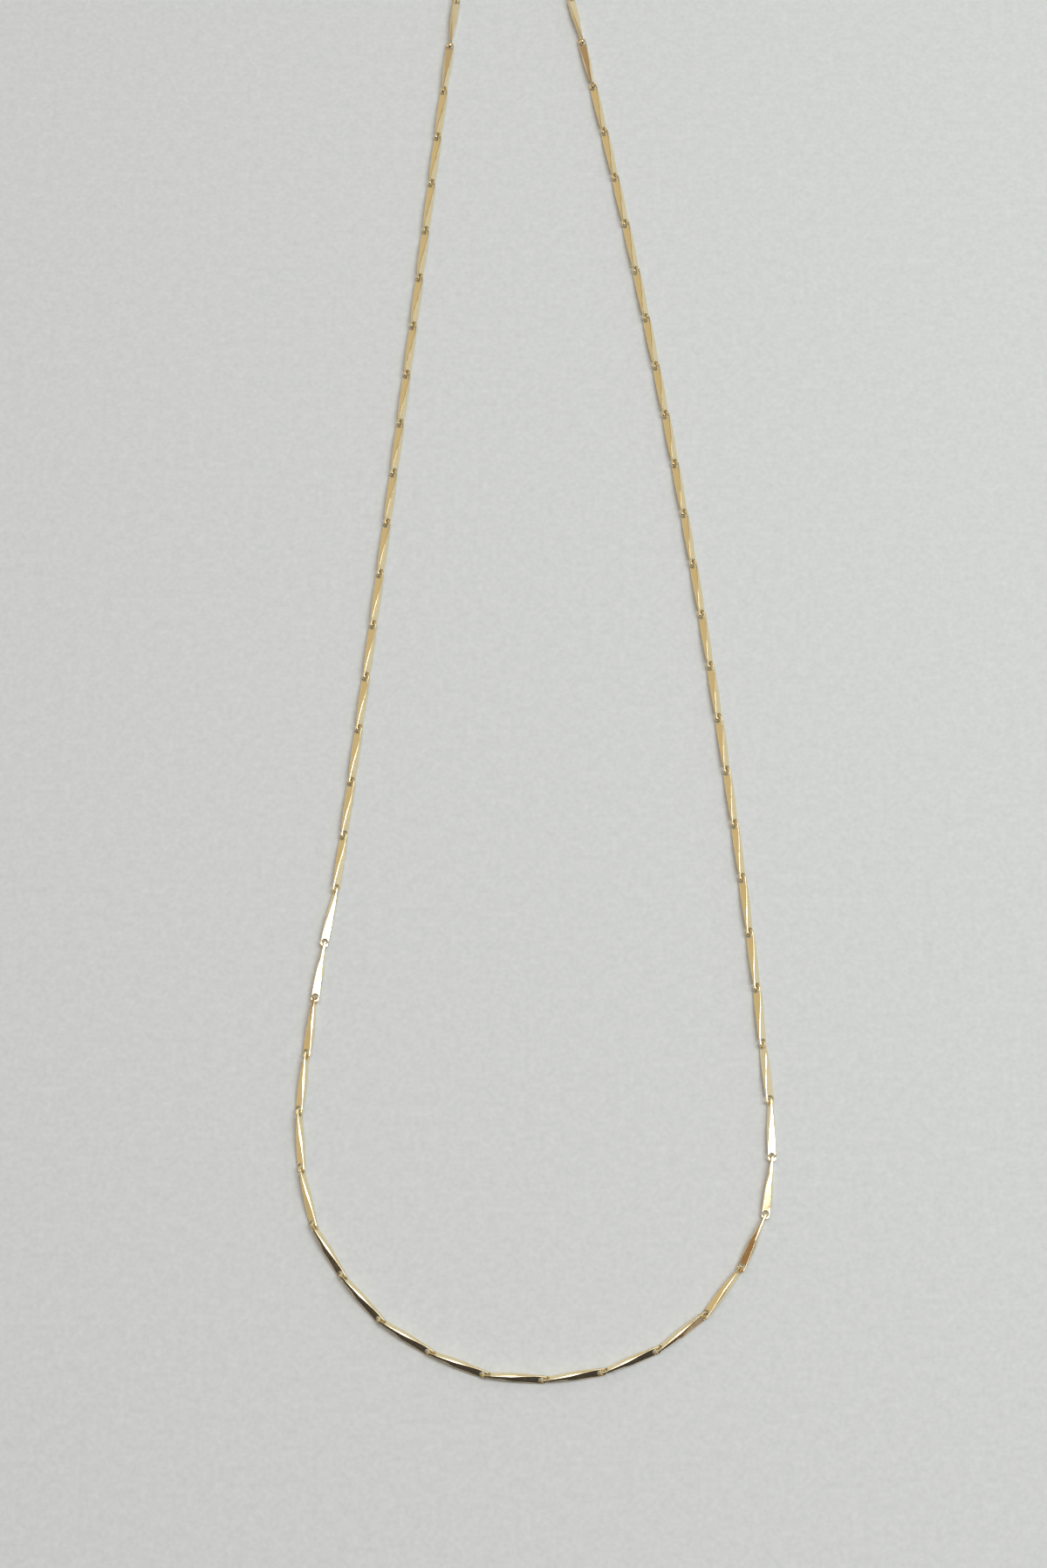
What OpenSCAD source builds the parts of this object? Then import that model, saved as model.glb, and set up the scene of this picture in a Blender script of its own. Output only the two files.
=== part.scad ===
// A necklace of slim bar links, clasped and laid in a teardrop on a flat surface.
// Each link is a short round bar, pressed flat at both ends, the second end nearly a quarter turn round from the
// first. The pressed flats run out to points past the bar's middle. Millimetres, +Z up, z = 0 is the surface.

/* [Bar link] */
// Distance from one joint to the next
link_pitch = 7.2; // [7:0.1:7.5]
// Diameter of the round bar
bar_d = 1.08; // [1.06:0.01:1.1]
// Distance between the bar's narrow polished faces on opposite sides
ridge_d = 1.06; // [1.04:0.01:1.07]
// Length of each pressed flat, from the joint to where it runs out
flat_l = 4.6; // [4.4:0.1:4.8]
// Angle between the flats of the two eyes
eye_turn = 78; // [76:1:80]
// Thickness of the flat eye
eye_t = 0.33; // [0.32:0.01:0.34]
// Radius of the hole in the eye
hole_r = 0.43; // [0.42:0.01:0.44]
// Metal between the hole and the tip of the link
rim = 0.26; // [0.25:0.01:0.27]
// Metal between the hole and the start of the sloping flats
neck = 0.06; // [0.04:0.01:0.1]
// Radius of the eye's rounded tip, seen flat
tip_r = 0.6; // [0.57:0.01:0.64]
// Distance between the hole centres of two linked eyes
hook = 0.51; // [0.5:0.01:0.54]

/* [Clasp] */
// Outer diameter of the two small rings beside the clasp
ring_d = 3.7; // [3.4:0.1:4]
// Wire diameter of the two small rings
ring_wire = 0.5; // [0.4:0.05:0.5]
// Outer diameter of the round clasp
clasp_d = 6; // [5:0.1:6.2]
// Thickness of the round clasp
clasp_wire = 1.08; // [1.04:0.02:1.08]
// Thickness of the clasp's two eyelets
eyelet_t = 0.5; // [0.4:0.05:0.6]

/* [Lie of the chain] */
// Direction of the first link, left of the clasp
start_heading = 263.3; // [262:0.1:265]

/* [Hidden] */
$fn = 32;

// The links in order, from the clasp down the left strand, round the bottom and up the right strand.
// turn is the change of direction at each joint of the row, to the left.
// roll is how far the link's far eye leans from lying flat, towards the inside of the loop.
LINKS = 0;
TURN = 1;
ROLL = 2;
LAY = [
    // links, turn, roll
    [1, 0.1, 156],
    [1, 0.1, 126],
    [1, 0.1, 96],
    [1, 0.1, 66],
    [3, 0.1, 52],
    [12, -0.05, 52],
    [1, -0.5, 44],
    [1, -3.5, 18],
    [1, 2.5, 0],
    [1, 1, -26],
    [1, 1, -37],
    [1, 9.8, -40],
    [1, 9.8, -40],
    [1, 17.5, -40],
    [1, 10.5, -40],
    [1, 16.5, -40],
    [1, 10.5, -40],
    [1, 17, -40],
    [1, 12, -40],
    [1, 14, -40],
    [1, 14, -45],
    [1, 16, -64],
    [1, 12.5, -84],
    [1, 18.5, -95],
    [1, 8, -112],
    [1, 5.5, -129],
    [1, -1.5, -142],
    [1, 1.5, -147],
    [11, 0.33, -147],
    [6, 0.4, -147],
    [1, 0.4, -168],
    [1, 0.4, -198],
    [1, 0.4, -228],
    [1, 0.4, -258]
];
links = [for (row = LAY) for (i = [1 : row[LINKS]]) row];
count = len(links);

// From a hole's centre to the tip of its link
tip = hole_r + rim;
bar_r = bar_d / 2;
ring_r = (ring_d - ring_wire) / 2;
clasp_r = (clasp_d - clasp_wire) / 2;

// Half the height of a bar rolled by the given angle. At 45 degrees it lies on a narrow polished face.
ridge_angle = acos(ridge_d / bar_d);
function half_height(roll) = bar_r * cos(max(0, ridge_angle - abs((roll + 360) % 90 - 45)));

function unit(heading) = [cos(heading), sin(heading)];
function total(list, upto) = upto < 0 ? 0 * list[0] : list[upto] + total(list, upto - 1);

headings = [for (i = [0 : count - 1])
    start_heading + total([for (row = links) row[TURN]], i) - links[0][TURN]];
steps = [for (heading = headings) link_pitch * unit(heading)];
route = [for (i = [0 : count]) total(steps, i - 1)];

// The ring centres lie straight beyond the first and the last link
reach = ring_r - hook / 2;
ring_a = route[0] - reach * unit(headings[0]);
ring_b = route[count] + reach * unit(headings[count - 1]);
across = ring_b - ring_a;
clasp_mid = (ring_a + ring_b) / 2;
// From the clasp's centre to the centre of the hole in each eyelet
eyelet_x = norm(across) / 2 - ring_r;

// The middle of the whole necklace, seen from above, is the origin
middle = [
    (min([for (p = route) p[0]]) + max([for (p = route) p[0]])) / 2,
    (min([for (p = route) p[1]]) - bar_r + clasp_mid[1] + clasp_d / 2) / 2];

// A round bar along X with a narrow face along each of its four quarters
module round_bar(length) {
    rotate([45, 0, 0])
        intersection() {
            rotate([0, 90, 0])
                cylinder(h = length, r = bar_r, center = true);
            cube([length, ridge_d, ridge_d], center = true);
        }
}

// What the two flats beside the near eye leave: thin at that eye, wider than the bar past their end.
// The far eye's round tip is part of it.
module pressed_outline() {
    near = hook / 2;
    far = link_pitch - hook / 2;
    thin = eye_t / 2;
    flat_start = near + hole_r + neck;
    slope = (bar_r - thin) / (flat_l - flat_start);
    flat_end = flat_start + (tip_r - thin) / slope;
    tip_mid = far + tip - tip_r;
    polygon([
        [near - tip, -thin],
        [flat_start, -thin],
        [flat_end, -tip_r],
        [tip_mid, -tip_r],
        [tip_mid, tip_r],
        [flat_end, tip_r],
        [flat_start, thin],
        [near - tip, thin]]);
    translate([tip_mid, 0])
        circle(r = tip_r);
}

// One link along +X between two joints, with its far eye flat and its near eye almost upright
module bar_link() {
    difference() {
        intersection() {
            rotate([eye_turn - 90, 0, 0])
                linear_extrude(2 * bar_d, center = true)
                    pressed_outline();
            translate([link_pitch, 0, 0])
                rotate([90, 0, 180])
                    linear_extrude(2 * bar_d, center = true)
                        pressed_outline();
            translate([link_pitch / 2, 0, 0])
                round_bar(link_pitch + 2 * tip);
        }
        translate([link_pitch - hook / 2, 0, 0])
            cylinder(h = bar_d, r = hole_r, center = true);
        translate([hook / 2, 0, 0])
            rotate([eye_turn, 0, 0])
                cylinder(h = bar_d, r = hole_r, center = true);
    }
}

module chain() {
    color("#d8bd86")
        for (i = [0 : count - 1])
            translate([route[i][0] - middle[0], route[i][1] - middle[1], half_height(links[i][ROLL])])
                rotate([-links[i][ROLL], 0, headings[i]])
                    bar_link();
}

// A round wire ring that lies flat, centred over the given place
module small_ring(place) {
    translate([place[0] - middle[0], place[1] - middle[1], bar_r])
        rotate_extrude()
            translate([ring_r, 0])
                circle(d = ring_wire);
}

module clasp_ring() {
    color("#d2b478")
        small_ring(ring_a);
}

module catch_ring() {
    color("#d2b478")
        small_ring(ring_b);
}

// The closed clasp: a plain round ring with an upright eyelet at each side
module clasp() {
    color("#dcc28c")
        translate([clasp_mid[0] - middle[0], clasp_mid[1] - middle[1], clasp_wire / 2])
            rotate([0, 0, atan2(across[1], across[0])])
                difference() {
                    union() {
                        rotate_extrude()
                            translate([clasp_r, 0])
                                circle(d = clasp_wire);
                        for (side = [-1, 1]) {
                            translate([side * eyelet_x, 0, 0])
                                rotate([90, 0, 0])
                                    cylinder(h = eyelet_t, d = clasp_wire, center = true);
                            translate([side * (clasp_r + eyelet_x) / 2, 0, 0])
                                cube([eyelet_x - clasp_r, eyelet_t, clasp_wire / 2], center = true);
                        }
                    }
                    for (side = [-1, 1])
                        translate([side * eyelet_x, 0, 0])
                            rotate([90, 0, 0])
                                cylinder(h = clasp_wire, r = hole_r - 0.02, center = true);
                }
}

chain();
clasp_ring();
clasp();
catch_ring();
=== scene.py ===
# %% [markdown]
# # A necklace of slim bar links
#
# The real thing is a fine chain of polished gold-filled bars. Each link is a short piece of round bar, pressed flat at
# both ends, the second end nearly a quarter turn round from the first, and drilled. The pressed flats run out to
# points past the middle of the bar, and each of them mirrors another part of the room: that is where such a chain
# gets its sparkle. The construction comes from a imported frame, which says where each piece lies. This file dresses
# it: every link is modelled finely once, copied to its place in the frame, and given a metal and a light to mirror.

# %% Load the frame
import math

import bmesh
import bpy
import numpy as np
from mathutils import Matrix, Vector


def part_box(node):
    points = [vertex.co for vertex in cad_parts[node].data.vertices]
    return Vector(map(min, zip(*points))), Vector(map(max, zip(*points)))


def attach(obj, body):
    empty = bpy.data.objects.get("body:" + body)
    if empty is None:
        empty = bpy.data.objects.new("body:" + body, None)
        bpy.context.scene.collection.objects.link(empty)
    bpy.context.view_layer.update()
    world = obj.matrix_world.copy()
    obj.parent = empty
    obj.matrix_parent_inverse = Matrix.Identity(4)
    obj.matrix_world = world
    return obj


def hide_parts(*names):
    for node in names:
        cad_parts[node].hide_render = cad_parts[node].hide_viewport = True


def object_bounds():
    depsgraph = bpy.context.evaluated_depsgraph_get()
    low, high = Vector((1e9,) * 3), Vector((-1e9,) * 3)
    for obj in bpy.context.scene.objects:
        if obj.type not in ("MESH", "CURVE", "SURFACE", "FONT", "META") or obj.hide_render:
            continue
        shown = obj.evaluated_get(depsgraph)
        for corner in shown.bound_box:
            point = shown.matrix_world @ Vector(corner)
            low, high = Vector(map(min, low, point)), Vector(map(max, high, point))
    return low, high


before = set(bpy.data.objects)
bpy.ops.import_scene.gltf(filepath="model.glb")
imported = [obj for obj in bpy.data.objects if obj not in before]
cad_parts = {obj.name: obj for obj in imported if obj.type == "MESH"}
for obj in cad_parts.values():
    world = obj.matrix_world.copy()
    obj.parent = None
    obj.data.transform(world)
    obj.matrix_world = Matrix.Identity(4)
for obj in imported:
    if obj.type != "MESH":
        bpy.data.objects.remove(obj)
cad_low, cad_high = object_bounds()
print("the frame holds", sorted(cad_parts))

# One millimetre in metres. Small things are easier to think of, and to model, in millimetres.
MM = 0.001

# %% [markdown]
# ## The camera
#
# A necklace is photographed lying flat, from high above and a little in front, so that the whole loop shows and the
# facets still catch the light. A camera can be placed by hand in the viewport, or, as here, from four plain numbers:
# the point that it looks at, its distance, its height angle and its lens. Numbers were chosen because they can be
# measured from the picture that is to be matched: the far end of the loop looks smaller by just so much.

# %% Place the camera
LOOK_AT = Vector((-1.41, -28.62, 0)) * MM
DISTANCE = 356.8 * MM
HEIGHT_ANGLE = math.radians(73.85)
LENS = 63.34
SENSOR = 36

camera_data = bpy.data.cameras.new("camera")
camera_data.lens = LENS
camera_data.sensor_width = SENSOR
camera_data.clip_start = 10 * MM
camera_data.clip_end = 10
camera = bpy.data.objects.new("camera", camera_data)
bpy.context.collection.objects.link(camera)
camera.location = LOOK_AT + DISTANCE * Vector((0, -math.cos(HEIGHT_ANGLE), math.sin(HEIGHT_ANGLE)))
camera.rotation_euler = (math.pi / 2 - HEIGHT_ANGLE, 0, 0)
bpy.context.scene.camera = camera
print("camera at", [round(v / MM, 1) for v in camera.location], "mm")

# %% [markdown]
# ## Working by hand, in code
#
# Blender's operators act on whatever is selected, just as they do under the mouse. So four helpers do what the hand
# does between two operators: let go of everything, take hold of one piece, go in and out of edit mode, and pick
# corners, edges or faces by where they are.

# %% Selection helpers
def let_go():
    """Deselects every object."""
    for thing in bpy.context.selected_objects:
        thing.select_set(False)


def take(piece):
    """Makes the piece the only selected object, and the active one."""
    let_go()
    piece.select_set(True)
    bpy.context.view_layer.objects.active = piece


def mode(name):
    """Goes into EDIT or OBJECT mode."""
    bpy.ops.object.mode_set(mode=name)


def pick(kind, test):
    """In edit mode, selects only the corners (VERT), edges (EDGE) or faces (FACE) whose points pass the test."""
    mesh = bpy.context.object.data
    bpy.ops.mesh.select_mode(type=kind)
    bpy.ops.mesh.select_all(action="DESELECT")
    shape = bmesh.from_edit_mesh(mesh)
    parts = {"VERT": shape.verts, "EDGE": shape.edges, "FACE": shape.faces}[kind]
    found = 0
    for part in parts:
        points = [part.co] if kind == "VERT" else [corner.co for corner in part.verts]
        if test(points):
            part.select = True
            found += 1
    shape.select_flush_mode()
    bmesh.update_edit_mesh(mesh)
    return found


# %% [markdown]
# ## One bar link
#
# The real link starts as round bar and is squeezed between wedges, once at each end, so it has two kinds of surface:
# the round of the bar, and long flats that run out to points. It could be lofted through sections, but then every
# section would need its own outline. Here three plain shapes are made, and booleans keep what they share, much as the
# press and the bar make the real one. The first shape is the room that one pair of wedges leaves: a box, cut across
# twice and squeezed before the first cut.

# %% The room that the first pair of wedges leaves
# In millimetres. A flat's length is from the joint to where it runs out. The rim is the metal between the hole and the
# tip, the neck that between the hole and the slope, and the hook the distance between two linked eyes' holes.
PITCH = 7.2
BAR_RADIUS = 0.54
FLAT_LENGTH = 4.6
EYE_THICKNESS = 0.33
HOLE_RADIUS = 0.43
RIM = 0.26
NECK = 0.06
TIP_RADIUS = 0.6
HOOK = 0.51
# Places closer than this count as the same
SLACK = 0.001

hole_x = (PITCH - HOOK) / 2
neck_x = hole_x - HOLE_RADIUS - NECK
tip_x = hole_x + HOLE_RADIUS + RIM
thin = EYE_THICKNESS / 2
slope = (BAR_RADIUS - thin) / (FLAT_LENGTH - PITCH / 2 + neck_x)
end_x = (TIP_RADIUS - thin) / slope - neck_x

let_go()
bpy.ops.mesh.primitive_cube_add(size=1, scale=(2 * tip_x, 2 * TIP_RADIUS, 2 * TIP_RADIUS))
link = bpy.context.object
link.name = "bar_link"
bpy.ops.object.transform_apply(location=True, rotation=True, scale=True)
mode("EDIT")
for x in (-neck_x, end_x):
    bpy.ops.mesh.select_all(action="SELECT")
    bpy.ops.mesh.bisect(plane_co=(x, 0, 0), plane_no=(1, 0, 0))
pick("VERT", lambda points: points[0].x < SLACK - neck_x)
bpy.ops.transform.resize(value=(1, thin / TIP_RADIUS, 1), center_override=(0, 0, 0))
print("the flats slope from", round(-neck_x, 2), "to", round(end_x, 2), "mm")

# %% [markdown]
# The other eye has a round tip. A bevel on the two short edges there rounds them to true arcs, when its width is the
# arc's radius.

# %% Round the tip of the other eye
TIP_SEGMENTS = 8


def tip_edge(points):
    """True for an edge of the far tip that runs from the top to the bottom."""
    first, last = points
    return min(first.x, last.x) > tip_x - SLACK and abs(first.z - last.z) > thin


found = pick("EDGE", tip_edge)
bpy.ops.mesh.bevel(offset=TIP_RADIUS - SLACK, segments=TIP_SEGMENTS, affect="EDGES")
mode("OBJECT")
print("rounded", found, "corners of a tip of the box of", [round(v, 2) for v in link.dimensions], "mm")

# %% [markdown]
# The second pair of wedges is the same pair, set at the other end and turned. On the real chain the two eyes don't
# quite cross: there are 78 degrees between them. A right angle would look alike from above, but the flats of such a
# link would leave a wide band of the bar between them, and the real one shows only a fine line there.

# %% Squeeze the other end too
QUARTER = math.pi / 2
EYE_TURN = math.radians(78)


def apply_modifier(piece, kind, **settings):
    """Adds a modifier with its settings and applies it."""
    take(piece)
    modifier = piece.modifiers.new(kind.lower(), kind)
    for name, value in settings.items():
        setattr(modifier, name, value)
    bpy.ops.object.modifier_apply(modifier=modifier.name)


def share(piece, other):
    """Keeps what a piece shares with another one, and removes the other one."""
    apply_modifier(piece, "BOOLEAN", object=other, operation="INTERSECT", solver="EXACT")
    bpy.data.objects.remove(other)


def turned(piece, angles):
    """Turns a piece round the scene's origin and keeps the turn in its mesh."""
    take(piece)
    piece.rotation_euler = angles
    bpy.ops.object.transform_apply(location=True, rotation=True, scale=True)


take(link)
bpy.ops.object.duplicate()
other_room = bpy.context.object
turned(other_room, (QUARTER, 0, math.pi))
turned(link, (EYE_TURN - QUARTER, 0, 0))
share(link, other_room)
print("squeezed twice:", len(link.data.polygons), "faces")

# %% [markdown]
# The last shape is the round bar, a little longer than the room. Tumbling and wear have polished a narrow flat face
# along each of its four quarters. With 32 sides, leaving out the corner at each quarter makes such a face as wide as
# two sides.

# %% The round bar, and what it shares with the room
BAR_SIDES = 32
BAR_LENGTH = 2.2 * tip_x

let_go()
bpy.ops.mesh.primitive_cylinder_add(
    vertices=BAR_SIDES, radius=BAR_RADIUS, depth=BAR_LENGTH, rotation=(0, QUARTER, 0)
)
bar = bpy.context.object
bpy.ops.object.transform_apply(location=True, rotation=True, scale=True)
mode("EDIT")
pick("EDGE", lambda points: all(abs(abs(p.y) - abs(p.z)) < SLACK for p in points))
bpy.ops.mesh.dissolve_edges(use_verts=True)
mode("OBJECT")
print("bar of", len(bar.data.polygons) - 2, "sides")
share(link, bar)
print("pressed bar has", len(link.data.polygons), "faces")

# %% [markdown]
# Tumbling rounds every edge, and a rounded edge shows a fine bright line, because some part of it always faces the
# light. The long edges are rounded first. In the middle of the link they run so close together that a wide rounding
# would run into itself, so its width tapers off there: each edge gets a bevel weight by its distance from the middle.

# %% Round the long edges
SOFT = 0.08
SOFT_FROM = math.radians(25)
TAPER_FROM = 0.5
TAPER_TO = 1.7
TAPER_STEPS = 6
SAME_PLACE = 0.012
SAME_PLANE = math.radians(0.5)


def sharp(edge):
    """True for an edge where two faces meet at more than a small angle."""
    return len(edge.link_faces) == 2 and edge.calc_face_angle() > SOFT_FROM


def pick_sharp(test):
    """In edit mode, selects only the sharp edges whose middle passes the test."""
    mesh = bpy.context.object.data
    bpy.ops.mesh.select_mode(type="EDGE")
    bpy.ops.mesh.select_all(action="DESELECT")
    shape = bmesh.from_edit_mesh(mesh)
    for edge in shape.edges:
        first, last = (corner.co for corner in edge.verts)
        edge.select = sharp(edge) and test((first + last) / 2)
    bmesh.update_edit_mesh(mesh)


def tidy(piece):
    """Merges corners that lie almost on each other, and faces that lie in one plane."""
    take(piece)
    mode("EDIT")
    bpy.ops.mesh.select_all(action="SELECT")
    bpy.ops.mesh.remove_doubles(threshold=SAME_PLACE)
    bpy.ops.mesh.dissolve_limited(angle_limit=SAME_PLANE)
    mode("OBJECT")


tidy(link)
mode("EDIT")
for step in range(1, TAPER_STEPS + 1):
    reach = TAPER_FROM + (TAPER_TO - TAPER_FROM) * step / TAPER_STEPS
    pick_sharp(lambda middle: abs(middle.x) > reach)
    bpy.ops.transform.edge_bevelweight(value=1 / TAPER_STEPS)
mode("OBJECT")
apply_modifier(link, "BEVEL", width=SOFT, segments=3, limit_method="WEIGHT", use_clamp_overlap=False)
print("with rounded edges:", len(link.data.polygons), "faces")

# %% [markdown]
# The holes are drilled: a boolean takes a cylinder out of each eye, and their rims are rounded too, but less. The
# weighted normals keep the facets' shading flat and leave all the turning to the rounded edges. The fine line in the
# middle of the link, where nothing was rounded, is marked sharp, so that it stays crisp.

# %% Drill the eyes
HOLE_SIDES = 32
RIM_SOFT = 0.03
RIM_REACH = 0.02
SHARP_TO = TAPER_FROM + 0.15


def drill(piece, place, turn, radius, depth):
    """Takes a round hole out of a piece."""
    let_go()
    bpy.ops.mesh.primitive_cylinder_add(
        vertices=HOLE_SIDES, radius=radius, depth=depth, location=place, rotation=turn
    )
    bit = bpy.context.object
    apply_modifier(piece, "BOOLEAN", object=bit, operation="DIFFERENCE", solver="EXACT")
    bpy.data.objects.remove(bit)


def from_hole(point, x, turn):
    """How far a point is from the axis of the hole at x."""
    across = point.y * math.cos(turn) + point.z * math.sin(turn)
    return math.hypot(point.x - x, across)


def at_rim(point):
    """True for a point on the rim of one of the two holes."""
    return any(abs(from_hole(point, x, turn) - HOLE_RADIUS) < RIM_REACH for x, turn in holes)


def smooth_but_flat(piece):
    """Shades a piece smooth, and lets its large faces keep the shading of flat ones."""
    for face in piece.data.polygons:
        face.use_smooth = True
    apply_modifier(piece, "WEIGHTED_NORMAL", mode="FACE_AREA", weight=50, keep_sharp=True)


holes = ((hole_x, 0), (-hole_x, EYE_TURN))
for x, turn in holes:
    drill(link, (x, 0, 0), (turn, 0, 0), HOLE_RADIUS, 4 * BAR_RADIUS)
tidy(link)
mode("EDIT")
pick_sharp(at_rim)
bpy.ops.mesh.bevel(offset=RIM_SOFT, segments=2, affect="EDGES", clamp_overlap=True)
pick_sharp(lambda middle: abs(middle.x) < SHARP_TO)
bpy.ops.mesh.mark_sharp()
mode("OBJECT")
smooth_but_flat(link)


def report(piece):
    """Prints how many triangles a piece has, and whether it is closed."""
    shape = bmesh.new()
    shape.from_mesh(piece.data)
    triangles = sum(len(face.verts) - 2 for face in shape.faces)
    loose = sum(1 for edge in shape.edges if not edge.is_manifold)
    shape.free()
    print(piece.name, "has", triangles, "triangles and", loose, "open edges")


report(link)

# %% [markdown]
# ## The chain
#
# Sixty-two links lie in the loop, and the frame already holds a plain link at each place. Their places could be
# written down again as a list, but then the two lists could drift apart. So each place is read from the frame. A link
# is asked where its middle is, which way it runs, anticlockwise round the loop, and which way the eye at its end
# faces. A link looks the same when it is rolled half round, so that is all there is to know. It runs the way in which
# its surface is spread most, and the eye faces the way that most of the surface near its end does.

# %% Where a plain link lies
# A face belongs to the eye's flat if the cosine of its lean is at least this
FLAT_COSINE = 0.95


def moments(corners):
    """Area, middle and spread of a surface given as triangles, each with its three corners."""
    sides = np.cross(corners[:, 1] - corners[:, 0], corners[:, 2] - corners[:, 0])
    area = np.linalg.norm(sides, axis=1) / 2
    centre = corners.mean(axis=1)
    middle = (area[:, None] * centre).sum(axis=0) / area.sum()
    moved = corners - middle
    mean = centre - middle
    # A triangle's spread is a twelfth of its corners' and nine twelfths of its centre's
    spread = np.einsum("t,tki,tkj->ij", area / 12, moved, moved)
    spread += np.einsum("t,ti,tj->ij", area * 9 / 12, mean, mean)
    return area, sides, centre, middle, spread


def place_of(plain):
    """The matrix, in millimetres, that puts a link modelled along X where a plain link lies."""
    mesh = plain.data
    mesh.calc_loop_triangles()
    points = np.array([corner.co for corner in mesh.vertices]) / MM
    corners = points[[tuple(triangle.vertices) for triangle in mesh.loop_triangles]]
    area, sides, centre, middle, spread = moments(corners)
    # The last eigenvector is the one with the largest spread
    along = np.linalg.eigh(spread)[1][:, 2]
    if Vector(middle).cross(Vector(along)).z < 0:
        along = -along
    at_eye = (centre - middle) @ along > neck_x
    facing = np.einsum("ti,tj->ij", sides[at_eye], sides[at_eye] / area[at_eye, None])
    level = np.linalg.eigh(facing)[1][:, 2]
    # A first estimate: the round tip and the rim pull it off a little, so only the flat itself is asked again
    towards = sides[at_eye] @ level
    flat = np.abs(towards) > FLAT_COSINE * 2 * area[at_eye]
    level = np.sign(towards[flat]) @ sides[at_eye][flat]
    level = level - along * (level @ along)
    level = level / np.linalg.norm(level)
    turn = Matrix((along, np.cross(level, along), level)).transposed().to_4x4()
    turn.normalize()
    return Matrix.Translation(middle) @ turn


# %% [markdown]
# The frame holds the plain chain as one object, and it must stay as it is. So a copy of it is taken apart into its
# loose links, they are asked one by one, and then they are removed.

# %% Read the places from the frame
def loose_copies(node):
    """A CAD node's solids, each as an object of its own."""
    let_go()
    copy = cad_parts[node].copy()
    copy.data = copy.data.copy()
    copy.parent = None
    copy.animation_data_clear()
    bpy.context.collection.objects.link(copy)
    take(copy)
    mode("EDIT")
    bpy.ops.mesh.select_all(action="SELECT")
    bpy.ops.mesh.remove_doubles(threshold=0.001 * MM)
    bpy.ops.mesh.separate(type="LOOSE")
    mode("OBJECT")
    return list(bpy.context.selected_objects)


plain_links = loose_copies("chain")
places = [place_of(plain) for plain in plain_links]
for plain in plain_links:
    bpy.data.objects.remove(plain)
print("the frame's chain has", len(places), "links")

# %% [markdown]
# Now the one good link is copied to every place, each copy with a mesh of its own, and the copies are joined, because
# the frame holds the chain as one piece.

# %% Copy the link to every place
def settle(piece, matrix):
    """Moves a piece that was modelled in millimetres to its place in metres, and keeps the place in its mesh."""
    piece.data.transform(Matrix.Scale(MM, 4) @ matrix)
    piece.data.update()


def join(parts, name):
    """Joins parts into one piece with its origin at the scene's."""
    take(parts[0])
    for part in parts[1:]:
        part.select_set(True)
    if len(parts) > 1:
        bpy.ops.object.join()
    piece = bpy.context.object
    piece.name = name
    piece.data.name = name
    return piece


copies = []
for place in places:
    copy = bpy.data.objects.new("link", link.data.copy())
    bpy.context.collection.objects.link(copy)
    settle(copy, place)
    copies.append(copy)
bpy.data.objects.remove(link)
chain = join(copies, "bar_links")


def compare(piece, node):
    """Prints how far a piece's box is from the box of the CAD node that it stands for."""
    points = np.array([corner.co for corner in piece.data.vertices])
    low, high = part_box(node)
    worst = max(np.abs(points.min(axis=0) - low).max(), np.abs(points.max(axis=0) - high).max())
    print(piece.name, "is within", round(worst / MM, 4), "mm of", node)


report(chain)
compare(chain, "chain")

# %% [markdown]
# ## The two small rings
#
# A ring of round wire joins each end of the chain to the clasp. A torus is the ring already, but a real one has a
# seam where the wire was closed, so the finished ring gets a fine groove: a slice of faces is marked off by two cuts
# close together and pulled in.

# %% Model the rings
RING_WIRE = 0.5
SEAM = 0.03
SEAM_DEPTH = 0.02
SEAM_TURNS = {"clasp_ring": math.radians(70), "catch_ring": math.radians(115)}
CREASE = math.radians(40)


def groove():
    """In edit mode, pulls in the narrow band of a torus between two cuts across its +X side."""
    for y in (-SEAM / 2, SEAM / 2):
        bpy.ops.mesh.select_all(action="SELECT")
        bpy.ops.mesh.bisect(plane_co=(0, y, 0), plane_no=(0, 1, 0))
    pick("FACE", lambda points: all(abs(p.y) < SEAM and p.x > 0 for p in points))
    bpy.ops.mesh.extrude_region_shrink_fatten(TRANSFORM_OT_shrink_fatten={"value": -SEAM_DEPTH})


def wire_ring(node, seam_turn):
    """A closed ring of round wire where the CAD ring lies."""
    low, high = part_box(node)
    middle = (low + high) / 2 / MM
    radius = (high.x - low.x) / MM / 2 - RING_WIRE / 2
    let_go()
    bpy.ops.mesh.primitive_torus_add(
        major_radius=radius, minor_radius=RING_WIRE / 2, major_segments=64, minor_segments=16
    )
    ring = bpy.context.object
    mode("EDIT")
    groove()
    mode("OBJECT")
    for face in ring.data.polygons:
        face.use_smooth = True
    take(ring)
    bpy.ops.object.shade_smooth_by_angle(angle=CREASE)
    settle(ring, Matrix.Translation(middle) @ Matrix.Rotation(seam_turn, 4, "Z"))
    ring.name = node + "_wire"
    ring.data.name = ring.name
    return ring


rings = {node: wire_ring(node, seam_turn) for node, seam_turn in SEAM_TURNS.items()}
for node, ring in rings.items():
    report(ring)
    compare(ring, node)

# %% [markdown]
# ## The clasp
#
# The clasp lies past the picture's edge, so nothing shows how it looks. A plain closed round one is made, the kind
# that such fine chains mostly have: a stout ring with a small upright eyelet at each side. It lies midway between the
# two small rings, turned so that each of them passes through an eyelet's hole.

# %% Where the clasp lies
CLASP_WIRE = 1.08

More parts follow.
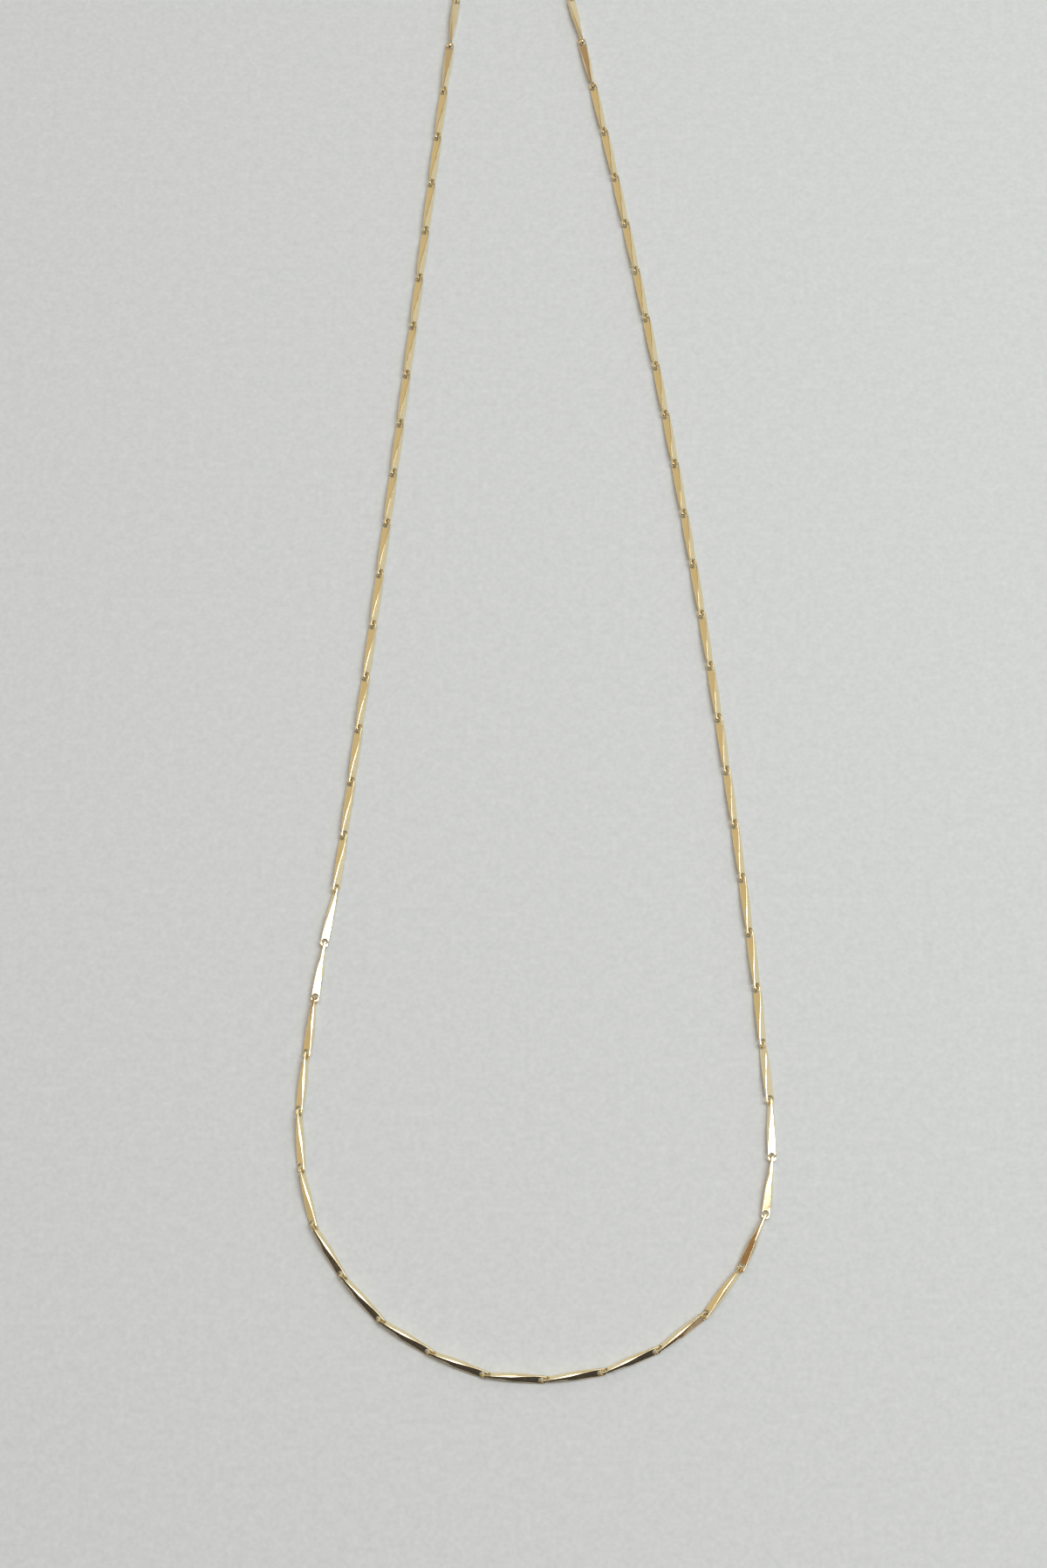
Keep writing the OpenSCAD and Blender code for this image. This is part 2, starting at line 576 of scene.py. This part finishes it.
ring_middles = {node: sum(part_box(node), Vector()) / 2 / MM for node in rings}
ring_radius = (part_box("clasp_ring")[1].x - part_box("clasp_ring")[0].x) / MM / 2 - RING_WIRE / 2
clasp_middle = (ring_middles["clasp_ring"] + ring_middles["catch_ring"]) / 2
clasp_across = ring_middles["catch_ring"] - ring_middles["clasp_ring"]
clasp_turn = math.atan2(clasp_across.y, clasp_across.x)
eyelet_x = clasp_across.length / 2 - ring_radius
clasp_low, clasp_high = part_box("clasp")
clasp_radius = (clasp_high.y - clasp_low.y) / MM / 2 - CLASP_WIRE / 2
print("the clasp's eyelets are", round(2 * eyelet_x, 2), "mm apart")

# %% [markdown]
# The eyelets are short drums. Each is joined to the ring by a boolean, with a small block as its neck, and drilled,
# and every edge is softened like the links' edges.

# %% Model the clasp
CLASP_SOFT = 0.05
EYELET_THICKNESS = 0.5
EYELET_HOLE = 0.41
NECK_HEIGHT = CLASP_WIRE / 2

let_go()
bpy.ops.mesh.primitive_torus_add(
    major_radius=clasp_radius, minor_radius=CLASP_WIRE / 2, major_segments=96, minor_segments=32
)
clasp = bpy.context.object
for side in (-1, 1):
    let_go()
    bpy.ops.mesh.primitive_cylinder_add(
        vertices=48,
        radius=CLASP_WIRE / 2,
        depth=EYELET_THICKNESS,
        location=(side * eyelet_x, 0, 0),
        rotation=(QUARTER, 0, 0),
    )
    drum = bpy.context.object
    apply_modifier(clasp, "BOOLEAN", object=drum, operation="UNION", solver="EXACT")
    bpy.data.objects.remove(drum)
    let_go()
    bpy.ops.mesh.primitive_cube_add(
        size=1,
        location=(side * (clasp_radius + eyelet_x) / 2, 0, 0),
        scale=(eyelet_x - clasp_radius, EYELET_THICKNESS, NECK_HEIGHT),
    )
    neck = bpy.context.object
    apply_modifier(clasp, "BOOLEAN", object=neck, operation="UNION", solver="EXACT")
    bpy.data.objects.remove(neck)
    drill(clasp, (side * eyelet_x, 0, 0), (QUARTER, 0, 0), EYELET_HOLE, 2 * CLASP_WIRE)
apply_modifier(clasp, "BEVEL", width=CLASP_SOFT, segments=3, limit_method="ANGLE", angle_limit=SOFT_FROM)
smooth_but_flat(clasp)
settle(clasp, Matrix.Translation(clasp_middle) @ Matrix.Rotation(clasp_turn, 4, "Z"))
clasp = join([clasp], "closed_clasp")
report(clasp)
compare(clasp, "clasp")

# %% [markdown]
# ## The metal
#
# The chain is gold-filled brass, tumbled and polished: a pale, slightly greenish yellow. A metal has no colour under
# its reflection, so nearly everything that the eye sees is the room, tinted. Three things keep it from looking
# like a computer's mirror: the polish isn't quite even, so the roughness wanders; no facet is quite flat, so
# reflections bend a little; and fine marks from the polishing cover the surface. All patterns are sized in
# millimetres, through a mapping that turns metres into millimetres.

# %% Colours and nodes
def linear(hex_colour):
    """Turns an sRGB hex colour into Blender's linear one."""
    values = [int(hex_colour[i : i + 2], 16) / 255 for i in (1, 3, 5)]
    return [v / 12.92 if v <= 0.04045 else ((v + 0.055) / 1.055) ** 2.4 for v in values] + [1]


def add_node(tree, kind, inputs=None, **settings):
    """Adds a node with its settings. Each input is a value, or the output of another node to link to."""
    node = tree.nodes.new(kind)
    for name, value in settings.items():
        setattr(node, name, value)
    for name, value in (inputs or {}).items():
        if isinstance(value, bpy.types.NodeSocket):
            tree.links.new(value, node.inputs[name])
        else:
            node.inputs[name].default_value = value
    return node


def new_material(name):
    """An empty material: itself, its node tree, and the place on the piece in millimetres."""
    material = bpy.data.materials.new(name)
    material.use_nodes = True
    tree = material.node_tree
    tree.nodes.clear()
    place = add_node(tree, "ShaderNodeTexCoord").outputs["Object"]
    scale = (1 / MM, 1 / MM, 1 / MM)
    mapping = add_node(tree, "ShaderNodeMapping", {"Vector": place, "Scale": scale})
    return material, tree, mapping.outputs["Vector"]


def noise(tree, in_mm, width, detail):
    """A cloudy pattern whose patches are about so many millimetres wide, from 0 to 1."""
    inputs = {"Vector": in_mm, "Scale": 1 / width, "Detail": detail}
    return add_node(tree, "ShaderNodeTexNoise", inputs).outputs["Fac"]


# %% Polished gold fill
# Widths and heights in millimetres. Real polishing marks are finer than the picture can show, so they are drawn a
# tenth of a millimetre wide.
TONE_WIDTH = 3
POLISH_WIDTH = 0.5
WAVE_WIDTH = 2
WAVE_HEIGHT = 0.012
MARK_WIDTH = 0.1
MARK_HEIGHT = 0.0006


def polished_gold(name, pale, deep):
    """Gold-filled brass, polished: a metal whose polish, flatness and tone wander a little."""
    material, tree, in_mm = new_material(name)
    # Tone: wide patches, a little deeper and a little paler
    colour = add_node(
        tree,
        "ShaderNodeMix",
        {"Factor": noise(tree, in_mm, TONE_WIDTH, 2), "A": linear(deep), "B": linear(pale)},
        data_type="RGBA",
    )
    # Polish: small spots that are more satin, where the buff missed
    polish = noise(tree, in_mm, POLISH_WIDTH, 3)
    roughness = add_node(
        tree,
        "ShaderNodeMapRange",
        {"Value": polish, "From Min": 0.3, "From Max": 0.7, "To Min": 0.1, "To Max": 0.22},
    )
    # Flatness: long low waves, which bend what the flats mirror
    waves = noise(tree, in_mm, WAVE_WIDTH, 1)
    bent = add_node(
        tree, "ShaderNodeBump", {"Height": waves, "Strength": 1, "Distance": WAVE_HEIGHT * MM}
    )
    # Polishing marks: fine grain, which spreads each reflection a little
    marks = noise(tree, in_mm, MARK_WIDTH, 3)
    marked = add_node(
        tree,
        "ShaderNodeBump",
        {
            "Height": marks,
            "Strength": 1,
            "Distance": MARK_HEIGHT * MM,
            "Normal": bent.outputs["Normal"],
        },
    )
    shader = add_node(
        tree,
        "ShaderNodeBsdfPrincipled",
        {
            "Base Color": colour.outputs["Result"],
            "Metallic": 1,
            "Roughness": roughness.outputs["Result"],
            "Normal": marked.outputs["Normal"],
        },
    )
    add_node(tree, "ShaderNodeOutputMaterial", {"Surface": shader.outputs["BSDF"]})
    return material


# %% Give each piece its metal
def finish_with(piece, material, node):
    """Gives a piece its metal, hangs it under the root body and hides the CAD node that it stands for."""
    piece.data.materials.clear()
    piece.data.materials.append(material)
    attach(piece, "root")
    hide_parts(node)


finish_with(chain, polished_gold("polished_link_gold", "#FAECC6", "#F6E3B4"), "chain")
ring_gold = polished_gold("drawn_wire_gold", "#F6E3B6", "#F0D8A2")
for node, ring in rings.items():
    finish_with(ring, ring_gold, node)
finish_with(clasp, polished_gold("polished_clasp_gold", "#F8E7BC", "#F2DCA8"), "clasp")
print("metals:", [piece.data.materials[0].name for piece in (chain, *rings.values(), clasp)])

# %% [markdown]
# ## The surface underneath
#
# The necklace lies on a plain pale board. It needs only to be large, level and nearly white, with faint clouds and
# specks in it so that it doesn't look like a void. Two noises are mixed for that, because one alone looks even.

# %% Make the floor
# In metres, and the widths of its clouds and specks in millimetres
FLOOR_SIZE = 12
CLOUD_WIDTH = 1.5
SPECK_WIDTH = 0.625
SPECK_SHARE = 0.6

let_go()
bpy.ops.mesh.primitive_plane_add(size=FLOOR_SIZE, location=(0, 0, cad_low.z))
floor = bpy.context.object
floor.name = "floor"


def pale_board(name):
    """Pale uncoated board: matt, with faint clouds and specks."""
    material, tree, in_mm = new_material(name)
    cloud = noise(tree, in_mm, CLOUD_WIDTH, 4)
    specks = noise(tree, in_mm, SPECK_WIDTH, 2)
    mixed = add_node(tree, "ShaderNodeMix", {"Factor": SPECK_SHARE, "A": cloud, "B": specks})
    colour = add_node(
        tree,
        "ShaderNodeMix",
        {"Factor": mixed.outputs["Result"], "A": linear("#C9CFCF"), "B": linear("#EAEFEF")},
        data_type="RGBA",
    )
    shader = add_node(
        tree, "ShaderNodeBsdfPrincipled", {"Base Color": colour.outputs["Result"], "Roughness": 0.9}
    )
    add_node(tree, "ShaderNodeOutputMaterial", {"Surface": shader.outputs["BSDF"]})
    return material


floor.data.materials.append(pale_board("pale_board"))
print("floor", [round(side, 1) for side in floor.dimensions], "m")

# %% [markdown]
# ## The room
#
# Polished metal shows its surroundings, so lighting it means building the room that it mirrors. The walls are pale:
# cool to the right, where the daylight comes from, and warm to the left. The ceiling is dimmer, brown to the left and
# grey to the right. Behind the camera all is dark, and warm only at the height of the table: the round bottom of the
# loop mirrors that part, which gives its flats their dark wedges.

# %% Build the room
def room():
    """A world whose light depends only on the direction: pale walls, a dimmer ceiling, dark behind the camera."""
    world = bpy.data.worlds.new("room")
    bpy.context.scene.world = world
    world.use_nodes = True
    tree = world.node_tree
    tree.nodes.clear()
    way = add_node(tree, "ShaderNodeTexCoord").outputs["Generated"]
    parts = add_node(tree, "ShaderNodeSeparateXYZ", {"Vector": way}).outputs

    def rising(axis, start, stop):
        """0 where the direction's part along an axis is at the start, 1 from the stop on, smooth between."""
        return add_node(
            tree,
            "ShaderNodeMapRange",
            {"Value": parts[axis], "From Min": start, "From Max": stop},
            interpolation_type="SMOOTHSTEP",
        ).outputs["Result"]

    def blend(factor, first, last):
        """One colour where the factor is 0, another where it is 1."""
        return add_node(
            tree, "ShaderNodeMix", {"Factor": factor, "A": first, "B": last}, data_type="RGBA"
        ).outputs["Result"]

    to_right = rising("X", -0.8, 0.8)
    walls = blend(to_right, linear("#CDBFA4"), linear("#D8DADC"))
    ceiling = blend(to_right, linear("#8F6B4E"), linear("#B4B1AA"))
    shell = blend(rising("Z", 0.5, 0.84), walls, ceiling)
    behind = rising("Y", -0.15, -0.5)
    below = rising("Z", 0.9, 0.6)
    dark = add_node(tree, "ShaderNodeMath", {0: behind, 1: below}, operation="MULTIPLY").outputs["Value"]
    unlit = blend(rising("Z", 0.17, 0.02), linear("#3E3E42"), linear("#7A5240"))
    shade = blend(dark, shell, unlit)
    light = add_node(tree, "ShaderNodeBackground", {"Color": shade, "Strength": 1})
    add_node(tree, "ShaderNodeOutputWorld", {"Surface": light.outputs["Background"]})
    print("the room's light is made of", len(tree.nodes), "nodes")


room()

# %% [markdown]
# ## The lights
#
# A broad soft panel hangs overhead. Faces that look straight up mirror it and turn white, and so do the fine rounded
# lines along the links. A smaller light hangs at the right, like a window. The shadows fall to the left of the links
# because of it, and where the chain turns over, the flats that lean that way flash white.

# %% Hang the lights
def soft_panel(name, place, aim, size, colour, watts):
    """A rectangular light that looks at a point, with places in metres."""
    data = bpy.data.lights.new(name, "AREA")
    data.shape = "RECTANGLE"
    data.size, data.size_y = size
    data.color = linear(colour)[:3]
    data.energy = watts
    panel = bpy.data.objects.new(name, data)
    bpy.context.collection.objects.link(panel)
    panel.location = place
    panel.rotation_euler = (Vector(aim) - Vector(place)).to_track_quat("-Z", "Y").to_euler()
    return panel


panels = [
    soft_panel(
        "overhead_panel",
        place=(0.055, 0.14, 1.0),
        aim=(0.055, 0.14, 0),
        size=(0.72, 0.48),
        colour="#F6F8FF",
        watts=3.0,
    ),
    soft_panel(
        "window",
        place=(0.35, 0.0, 0.58),
        aim=(0, -0.02, 0),
        size=(0.2, 0.32),
        colour="#F8FBFF",
        watts=1.6,
    ),
]
bpy.context.scene.view_settings.view_transform = "Standard"
print("lights:", {panel.name: round(panel.data.energy, 1) for panel in panels}, "W")
